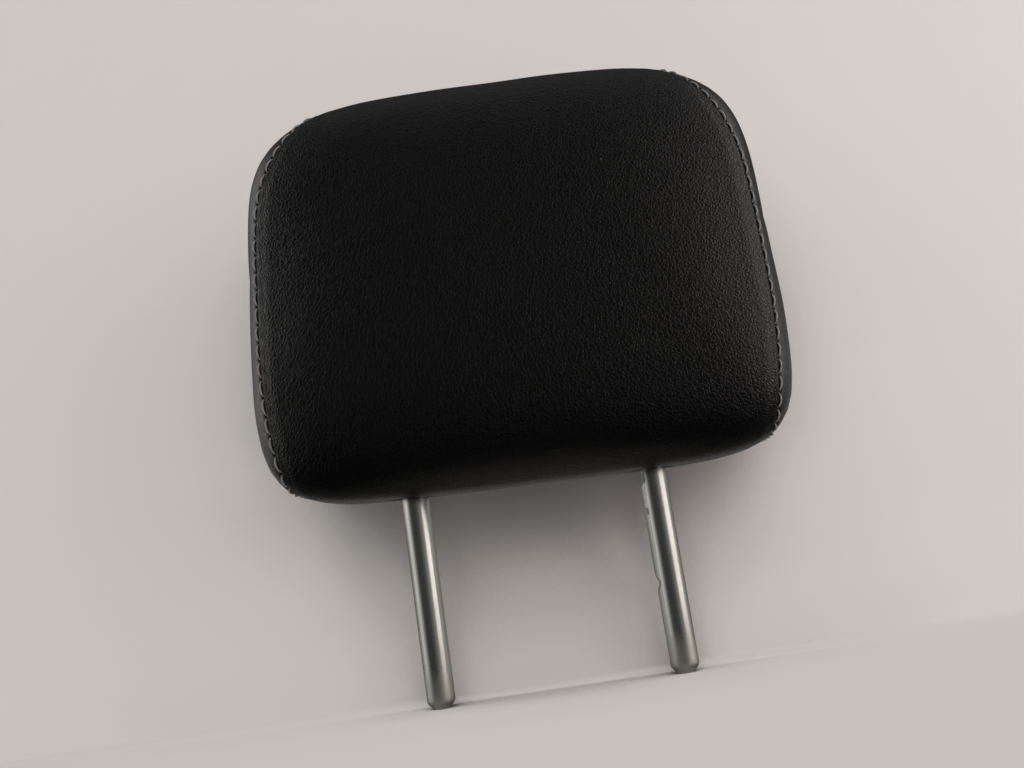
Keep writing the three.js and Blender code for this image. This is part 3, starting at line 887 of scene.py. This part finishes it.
class HEADREST_OT_topstitch(bpy.types.Operator):
    """Two rows of topstitching, each stitch a bowed length of thread between two needle holes."""

    bl_idname = "headrest.topstitch"
    bl_label = "Topstitching"

    def execute(self, context):
        pad, stitching = settings().pad, settings().stitching
        thread = thread_material(stitching)
        for side, line in stitch_lines(pad, stitching).items():
            name = "left_topstitch" if side < 0 else "right_topstitch"
            finish_piece(self.thread_row(name, pad, line, stitching.thread / 2), thread, "thread")
        return {"FINISHED"}

    def thread_row(self, name, pad, line, radius):
        """Round bars along the stitch line: each rises from one hole, bows outwards and dives into the next.

        Along a bar, height and thickness follow sin(pi t)^SWELL_POWER, and the bow follows sin(pi t).
        """
        count, stations, sides = line.count, 11, 8
        t = np.linspace(0, 1, stations)
        rise = np.sin(np.pi * t) ** SWELL_POWER
        arc = ((np.arange(count)[:, None] + (THREAD_START + THREAD_SHARE * t)[None, :]) * line.pitch).ravel()
        closed = np.concatenate([line.along, [line.total]])

        def at(values):
            ringed = np.concatenate([values, values[:1]])
            return np.stack([np.interp(arc, closed, ringed[:, k]) for k in range(3)], axis=-1)

        height = np.tile(-THREAD_DIVE * radius + THREAD_RISE * radius * rise, count)[:, None]
        bow = np.tile(THREAD_BOW * np.sin(np.pi * t), count)[:, None]
        up = at(line.lift)
        centre = at(line.points) + up * height + at(line.aside) * bow
        centre = centre.reshape(count, stations, 3)
        forward = np.gradient(centre, axis=1)
        forward /= np.linalg.norm(forward, axis=2, keepdims=True)
        out = np.cross(forward, up.reshape(count, stations, 3))
        out /= np.linalg.norm(out, axis=2, keepdims=True)
        up = np.cross(out, forward)
        turn = 2 * np.pi * np.arange(sides) / sides
        thick = radius * (THREAD_TIP + (1 - THREAD_TIP) * rise)[None, :, None, None]
        ring = np.cos(turn)[None, None, :, None] * out[:, :, None] + \
            np.sin(turn)[None, None, :, None] * up[:, :, None]
        body = centre[:, :, None] + ring * thick
        ends = np.stack([centre[:, 0], centre[:, -1]], axis=1)
        per = stations * sides + 2
        flat = np.concatenate([body.reshape(count, -1, 3), ends], axis=1)
        one = tube_faces(stations, sides)
        faces = [[corner + i * per for corner in face] for i in range(count) for face in one]
        made = new_mesh_object(name, placed(pad, flat), faces)
        self.map_twist(made, per, stations, sides)
        return made

    def map_twist(self, made, per, stations, sides):
        """Map for the twist: along the stitch one way, round the thread the other."""
        corners = np.empty(len(made.data.loops), dtype=np.int32)
        made.data.loops.foreach_get("vertex_index", corners)
        local = corners % per
        along = np.where(local < stations * sides, local // sides, np.where(local == per - 2, 0, stations))
        round_it = np.where(local < stations * sides, local % sides, 0)
        values = np.stack([along * TWIST_STEP, round_it / sides], axis=-1)
        layer = made.data.uv_layers.new(name="twist")
        layer.data.foreach_set("uv", values.ravel().astype(np.float32))


# The tube. In millimetres: its notches (heights of the foot, of the floor's two ends and of the top, and the
# depth), its nose (radius and height, from the bore outwards) and heights where the plain post has a section

BEND_RADIUS = 35 * MM
NOTCHES = (
    (91.0, 94.4, 102.4, 103.0, 1.9),
    (77.3, 77.3, 80.5, 80.5, 1.9),
    (39.9, 43.0, 44.0, 47.4, 1.7),
)
NOTCH_EDGE = 0.02
NOSE = ((2.0, 8.0), (2.0, 0.5), (2.3, 0.12), (2.8, 0.0), (4.1, 0.0), (4.45, 0.1), (6.6, 2.85), (6.9, 3.35),
        (7.0, 4.0))
STATIONS = (6, 10, 20, 30, 60, 70, 110, 140, 180)


def notch_depth(height):
    """Depth of the notches at each height: straight lines from foot to floor and from floor to top."""
    depth = np.zeros_like(height)
    for foot, low, high, top, deep in NOTCHES:
        places = [foot - NOTCH_EDGE, foot, low + NOTCH_EDGE, high - NOTCH_EDGE, top, top + NOTCH_EDGE]
        values = np.array([0, 0, deep, deep, 0, 0]) * MM
        depth = np.maximum(depth, np.interp(height, np.array(places) * MM, values))
    return depth


def notch_heights(foot, low, high, top, _):
    """Heights at which the tube needs a section beside and in a notch, in millimetres."""
    edges = [foot - NOTCH_EDGE, low + NOTCH_EDGE, high - NOTCH_EDGE, top + NOTCH_EDGE]
    ramps = np.linspace(foot, low, 5), np.linspace(high, top, 5)
    return np.concatenate([[foot - 0.6, top + 0.6], edges, *ramps])


class HEADREST_OT_posts(bpy.types.Operator):
    """The bent tube: a round section carried up one post, round two bends and down the other post."""

    bl_idname = "headrest.posts"
    bl_label = "Chrome posts"

    def execute(self, context):
        sides = 64
        straight = TUBE_HIGH[2] - TUBE_RADIUS - BEND_RADIUS
        heights = np.unique(np.concatenate([STATIONS] + [notch_heights(*notch) for notch in NOTCHES])) * MM
        left = [((-POST_X, z * MM), (0, 1), r * MM) for r, z in NOSE]
        left += [((-POST_X, z), (0, 1), TUBE_RADIUS) for z in heights]
        for a in np.linspace(0, np.pi / 2, 17):
            place = (BEND_RADIUS * (1 - math.cos(a)) - POST_X, straight + BEND_RADIUS * math.sin(a))
            left.append((place, (math.sin(a), math.cos(a)), TUBE_RADIUS))
        right = [((-x, z), (dx, -dz), r) for (x, z), (dx, dz), r in left[::-1]]
        spine = left + right
        centre = np.array([[x, 0, z] for (x, z), _, _ in spine])
        way = np.array([[dx, 0, dz] for _, (dx, dz), _ in spine])
        radius = np.array([r for _, _, r in spine])
        inward = np.cross(way, (0, 1, 0))
        turn = 2 * np.pi * (np.arange(sides) + 0.5) / sides
        ring = np.cos(turn)[None, :, None] * inward[:, None]
        ring = ring + np.sin(turn)[None, :, None] * np.array([0, 1, 0])
        points = centre[:, None] + ring * radius[:, None, None]
        on_right = (centre[:, 0] > POST_X - 1e-6)[:, None]
        floor = POST_X - TUBE_RADIUS + notch_depth(centre[:, 2])[:, None]
        points[..., 0] = np.where(on_right, np.maximum(points[..., 0], floor), points[..., 0])
        vent_floor = NOSE[0][1] * MM
        ends = np.array([[-POST_X, 0, vent_floor], [POST_X, 0, vent_floor]])
        flat = np.concatenate([points.reshape(-1, 3), ends])
        tube = new_mesh_object("chrome_tube", flat, tube_faces(len(spine), sides))
        tube.data.set_sharp_from_angle(angle=math.radians(28))
        finish_piece(tube, chrome_material(settings().posts), "chrome", "post_armature")
        return {"FINISHED"}


class HEADREST_OT_inner_parts(bpy.types.Operator):
    """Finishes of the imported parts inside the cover: carrier, screws, foam and closing strips."""

    bl_idname = "headrest.inner_parts"
    bl_label = "Inner parts"

    def execute(self, context):
        moulded = moulded_material("carrier_moulding", (0.022, 0.022, 0.024), 0.8 * MM, 0.55)
        strip = moulded_material("strip_moulding", (0.014, 0.014, 0.015), 1.5 * MM, 0.42)
        finishes = {"carrier_front": moulded, "carrier_rear": moulded, "carrier_screw": zinc_material(),
                    "foam": foam_material(), "closure": strip}
        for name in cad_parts:
            for start, material in finishes.items():
                if name.startswith(start):
                    node = bpy.data.objects[name]
                    if not node.material_slots:
                        node.data.materials.append(material)
                    for place in node.material_slots:
                        place.material = material
        return {"FINISHED"}


def grained_leather():
    """Leather of the centre panel."""
    return leather_material(settings().leather, "black_leather", 1.0, 0.55)


def smooth_leather():
    """Leather of both side panels, pressed smoother than the face."""
    made = bpy.data.materials.get("smooth_leather")
    return made if made else leather_material(settings().leather, "smooth_leather", 0.6, 0.85)


# Stage, in metres: the card and the floor, how open the card is by its distance from its bare fold, and the
# glow that is left at each openness, which is the headrest's painted shadow on the card


CARD_FOOT, CARD_BEND, CARD_LEAN = 7.3 * MM, 6 * MM, math.radians(14.3)
CARD_CORNER = CARD_FOOT + CARD_BEND * math.tan(math.pi / 4 - CARD_LEAN / 2)
CARD_TOP = 2.4
STAGE_FRONT, STAGE_SIDE = -2.5, 4.0
FLOOR_REACH, FLOOR_RADIUS, FLOOR_TOP, FLOOR_DROP = 1.6, 1.2, 4.5, 2 * MM
SHADOW_REACH, SHADOW_RAYS = 0.16, 8
BARE_FOLD = ((0.0, 0.625), (0.125, 0.696), (0.28, 0.781), (0.5, 0.882), (0.75, 0.966), (1.0, 1.0))
# Painted shadow: the share of the card's glow that is left at each openness
PAINTED_SHADOW = ((0.36, 0.0), (0.42, 0.04), (0.52, 0.20), (0.6, 0.43), (0.68, 0.74), (0.76, 0.93), (0.9, 1.0))
LEANING_GLOW, FLAT_GLOW, FLAT_OPENING, FLAT_DARK = 0.66, 0.90, 0.15, 0.12
# Painted light: the paper's glow is darker to the left and paler and warmer to the right
PAPER_SHADED_LEFT, PAPER_LIT_RIGHT = (0.55, 0.53, 0.50), (0.64, 0.59, 0.565)
LIT_REACH, EVEN_FROM, MIRRORED_FROM = 0.35, 0.95, 0.09

# How pale the room is by direction, from one end of each axis (0) to the other (1)

FRONT_BY_X = ((0.0, 1.0), (0.04, 0.62), (0.115, 0.13), (0.21, 0.064), (0.5, 0.078), (0.62, 0.14),
              (0.80, 0.35), (1.0, 0.65))
FRONT_BY_Z = ((0.0, 0.1), (0.28, 0.15), (0.42, 0.5), (0.48, 0.9), (0.54, 0.85), (0.62, 0.65), (0.80, 0.85),
              (1.0, 0.4))
BEHIND_BY_Z = ((0.0, 0.05), (0.28, 0.08), (0.44, 0.36), (0.575, 0.36), (0.62, 0.17), (0.68, 0.06),
               (1.0, 0.04))
BEHIND_FROM = 0.45
FRONT_TINT, BEHIND_TINT = (1, 0.985, 0.96), (1, 0.965, 0.915)
FAR_PAPER = (0.60, 0.56, 0.535, 1)

# Camera, fitted to the outline of the headrest in its picture

CAMERA_PLACE = (9.720 * MM, -505.436 * MM, 63.452 * MM)
CAMERA_PITCH = math.radians(10.092)
CAMERA_YAW = math.radians(-1.420)
CAMERA_ROLL = math.radians(8.594)


class HEADREST_OT_stage(bpy.types.Operator):
    """Pale floor and backdrop, soft lamps and the camera."""

    bl_idname = "headrest.stage"
    bl_label = "Stage"

    def execute(self, context):
        self.floor(settings().stage)
        self.room()
        self.lamps()
        self.camera(settings().stage)
        return {"FINISHED"}

    def floor(self, stage):
        """Floor that curves up into a far wall, and a card on it that leans back just behind the headrest."""
        bend = np.linspace(0, np.pi / 2, 25)
        wall = FLOOR_REACH + FLOOR_RADIUS
        y = np.concatenate([[STAGE_FRONT, 0], FLOOR_REACH + FLOOR_RADIUS * np.sin(bend), [wall]])
        z = np.concatenate([[0, 0], FLOOR_RADIUS * (1 - np.cos(bend)), [FLOOR_TOP]]) - FLOOR_DROP
        self.sweep("stage_floor", y, z, self.paper(stage))
        bend = np.linspace(0, np.pi / 2 - CARD_LEAN, 9)
        y = np.concatenate([[STAGE_FRONT], CARD_FOOT + CARD_BEND * np.sin(bend)])
        z = np.concatenate([[0], CARD_BEND * (1 - np.cos(bend))])
        y = np.append(y, y[-1] + (CARD_TOP - z[-1]) * math.tan(CARD_LEAN))
        self.sweep("stage_card", y, np.append(z, CARD_TOP), self.card(stage))

    def sweep(self, name, y, z, material):
        """Wide sheet with the given profile, its front side upwards."""
        x = np.array([-STAGE_SIDE, STAGE_SIDE])
        points = np.stack([np.broadcast_to(v, (2, len(y))) for v in (x[:, None], y, z)], axis=-1)
        sheet = new_mesh_object(name, points, grid_faces(2, len(y), closed_rows=False))
        sheet.data.materials.append(material)

    def paper_colour_and_painted_light(self, n, where):
        """Colour of the paper, a little warmer and paler to the right: painted light, brighter towards the
        right lamp.
        """
        return n.ramp(n.span(n.axis(where, "X"), -0.7, 0.9), (0.0, PAPER_SHADED_LEFT), (1.0, PAPER_LIT_RIGHT))

    def card(self, stage):
        """Pale card that only the camera sees, and only from the front: lit, with a glow of its own colour.

        The glow carries a painted shadow of the headrest: it is weaker where the headrest covers the card, by
        how open a place is, as a share of how open the bare fold is there. The part that lies flat is mostly
        glow, so that the fold hardly shows.
        """
        n = Nodes("stage_card")
        where = n.place()
        upwards = n.axis(n.add("NewGeometry").outputs["Normal"], "Z")
        flat = n.span(upwards, 0.3, 1.0)
        on_floor = n.maths("SUBTRACT", CARD_CORNER, n.axis(where, "Y"))
        on_lean = n.maths("DIVIDE", n.axis(where, "Z"), math.cos(CARD_LEAN))
        from_fold = n.maths("MULTIPLY", n.maths("MAXIMUM", on_floor, on_lean), 1 / SHADOW_REACH)
        # Painted shadow: ambient occlusion dims the card's glow near the headrest, beside the real shadow of
        # the lit part
        open_share = n.add("AmbientOcclusion", {"Distance": SHADOW_REACH}, samples=SHADOW_RAYS).outputs["AO"]
        share = n.maths("DIVIDE", open_share, n.ramp(from_fold, *BARE_FOLD))
        share = n.maths("ADD", share, n.maths("MULTIPLY", flat, FLAT_OPENING))
        level = n.span(upwards, 0.45, 1.0, LEANING_GLOW, FLAT_GLOW)
        strength = n.maths("MULTIPLY", level, n.ramp(share, *PAINTED_SHADOW))
        glow = n.add("Emission", {"Color": self.paper_colour_and_painted_light(n, where), "Strength": strength}).outputs[0]
        base = n.mix(flat, rgba(stage.floor_colour), rgba(stage.floor_colour, FLAT_DARK))
        n.finish(Base_Color=base, Roughness=0.9, Specular_IOR_Level=0.1)
        lit = n.add("AddShader", {0: n.shader.outputs[0], 1: glow}).outputs[0]
        front = n.maths("SUBTRACT", 1.0, n.add("NewGeometry").outputs["Backfacing"])
        seen = n.maths("MULTIPLY", n.add("LightPath").outputs["Is Camera Ray"], front)
        return n.surface(n.choose(seen, n.add("BsdfTransparent").outputs[0], lit))

    def paper(self, stage):
        """Pale paper: lit near the object, even beyond it, and out of the way of far reflections."""
        n = Nodes("stage_paper")
        where = n.place()
        away = n.add("VectorMath", {0: where}, operation="LENGTH").outputs["Value"]
        rays = n.add("LightPath").outputs
        far = n.span(away, LIT_REACH, EVEN_FROM, interpolation_type="SMOOTHSTEP")
        even = n.span(far, 0, 1, 0.5, 1)
        n.finish(Base_Color=rgba(stage.floor_colour), Roughness=0.9, Specular_IOR_Level=0.1)
        glow = n.add("Emission", {"Color": self.paper_colour_and_painted_light(n, where), "Strength": 1.0}).outputs[0]
        lit = n.choose(n.maths("MULTIPLY", rays["Is Camera Ray"], even), n.shader.outputs[0], glow)
        mirrored = n.maths("MULTIPLY", rays["Is Glossy Ray"], n.maths("GREATER_THAN", away, MIRRORED_FROM))
        return n.surface(n.choose(mirrored, lit, n.add("BsdfTransparent").outputs[0]))

    def room(self):
        """The room round the stage: dark in front, paler to the sides and behind, read by direction."""
        n = Nodes("soft_room", world=True)
        bpy.context.scene.world = n.owner
        towards = n.add("TexCoord").outputs["Generated"]
        across, upwards = (n.span(n.axis(towards, name), -1, 1) for name in "XZ")
        front = n.ramp(across, *self.tinted(FRONT_BY_X, FRONT_TINT))
        front = n.mix(1.0, front, n.ramp(upwards, *FRONT_BY_Z), "MULTIPLY")
        back = n.ramp(upwards, *self.tinted(BEHIND_BY_Z, BEHIND_TINT))
        room = n.mix(n.span(n.axis(towards, "Y"), 0, BEHIND_FROM), front, back)
        n.finish(Color=n.mix(n.add("LightPath").outputs["Is Camera Ray"], room, FAR_PAPER))

    def tinted(self, stops, tint):
        """Stops of grey given one tint."""
        return [(place, tuple(grey * part for part in tint)) for place, grey in stops]

    def lamps(self):
        """Large soft lamps: place, aim, width, height, power and how warm they are."""
        for name, place, aim, width, height, power, warmth in (
            ("right_lamp", (1.12, -0.42, 0.45), (0, 0, 0.15), 1.02, 1.1, 4.0, 0.13),
            ("left_lamp", (-1.4, 0.12, 0.85), (0, 0, 0.2), 1.5, 1.3, 5.0, 0.04),
            ("high_right_lamp", (1.25, -0.05, 1.35), (0, 0, 0.1), 1.0, 1.0, 1.8, 0.03),
            ("high_left_lamp", (-1.25, -0.05, 1.35), (0, 0, 0.1), 1.0, 1.0, 1.3, 0.02),
            ("top_lamp", (0, 0.2, 1.8), (0, 0, 0.1), 1.2, 1.2, 0.8, 0.0),
        ):
            light = bpy.data.lights.new(name, "AREA")
            light.color = (1, 1 - warmth, 1 - 1.2 * warmth)
            light.shape = "RECTANGLE"
            light.size, light.size_y = width, height
            light.energy = power
            lamp = bpy.data.objects.new(name, light)
            lamp.location = place
            lamp.rotation_euler = (Vector(aim) - Vector(place)).to_track_quat("-Z", "Y").to_euler()
            bpy.context.scene.collection.objects.link(lamp)

    def camera(self, stage):
        """Camera from its place, pitch, yaw and roll: the roll turns the picture about the line of sight."""
        cp, sp = math.cos(CAMERA_PITCH), math.sin(CAMERA_PITCH)
        cy, sy = math.cos(CAMERA_YAW), math.sin(CAMERA_YAW)
        forward = Vector((sy * cp, cy * cp, sp))
        level = Vector((cy, -sy, 0))
        upright = level.cross(forward)
        cr, sr = math.cos(CAMERA_ROLL), math.sin(CAMERA_ROLL)
        right = level * cr - upright * sr
        up = level * sr + upright * cr
        data = bpy.data.cameras.new("camera")
        data.sensor_width = 36
        data.lens = stage.focal_length
        camera = bpy.data.objects.new("camera", data)
        turn = Matrix((right, up, -forward)).transposed()
        camera.matrix_world = Matrix.Translation(CAMERA_PLACE) @ turn.to_4x4()
        bpy.context.scene.collection.objects.link(camera)
        bpy.context.scene.camera = camera
        bpy.context.scene.view_settings.view_transform = "Standard"


class HeadrestSettings(bpy.types.PropertyGroup):
    """All settings of the headrest."""

    pad: PointerProperty(type=HeadrestPad)
    leather: PointerProperty(type=HeadrestLeather)
    stitching: PointerProperty(type=HeadrestStitching)
    posts: PointerProperty(type=HeadrestPosts)
    stage: PointerProperty(type=HeadrestStage)


class HEADREST_PT_sidebar(bpy.types.Panel):
    """Lists the headrest's settings and the operators that build it."""

    bl_label = "Headrest"
    bl_idname = "HEADREST_PT_sidebar"
    bl_space_type = "VIEW_3D"
    bl_region_type = "UI"
    bl_category = "Headrest"

    def draw(self, context):
        for group in ("pad", "leather", "stitching", "posts", "stage"):
            box = self.layout.box()
            box.label(text=group.capitalize())
            part = getattr(context.scene.headrest, group)
            for name in part.bl_rna.properties.keys():
                if name not in ("rna_type", "name"):
                    box.prop(part, name)
        for operator in OPERATORS:
            self.layout.operator(operator.bl_idname)


OPERATORS = (
    HEADREST_OT_stage,
    HEADREST_OT_centre_panel,
    HEADREST_OT_side_panels,
    HEADREST_OT_topstitch,
    HEADREST_OT_posts,
    HEADREST_OT_inner_parts,
)
CLASSES = (HeadrestPad, HeadrestLeather, HeadrestStitching, HeadrestPosts, HeadrestStage, HeadrestSettings,
           *OPERATORS, HEADREST_PT_sidebar)


def register():
    """Registers the classes and puts the settings on the scene."""
    for kind in CLASSES:
        bpy.utils.register_class(kind)
    bpy.types.Scene.headrest = PointerProperty(type=HeadrestSettings)


def unregister():
    """Takes the settings and the classes away again."""
    del bpy.types.Scene.headrest
    for kind in reversed(CLASSES):
        bpy.utils.unregister_class(kind)


def main():
    """Builds the stage and every piece."""
    register()
    bpy.ops.headrest.stage()
    bpy.ops.headrest.centre_panel()
    bpy.ops.headrest.side_panels()
    bpy.ops.headrest.topstitch()
    bpy.ops.headrest.posts()
    bpy.ops.headrest.inner_parts()


if __name__ == "__main__":
    main()
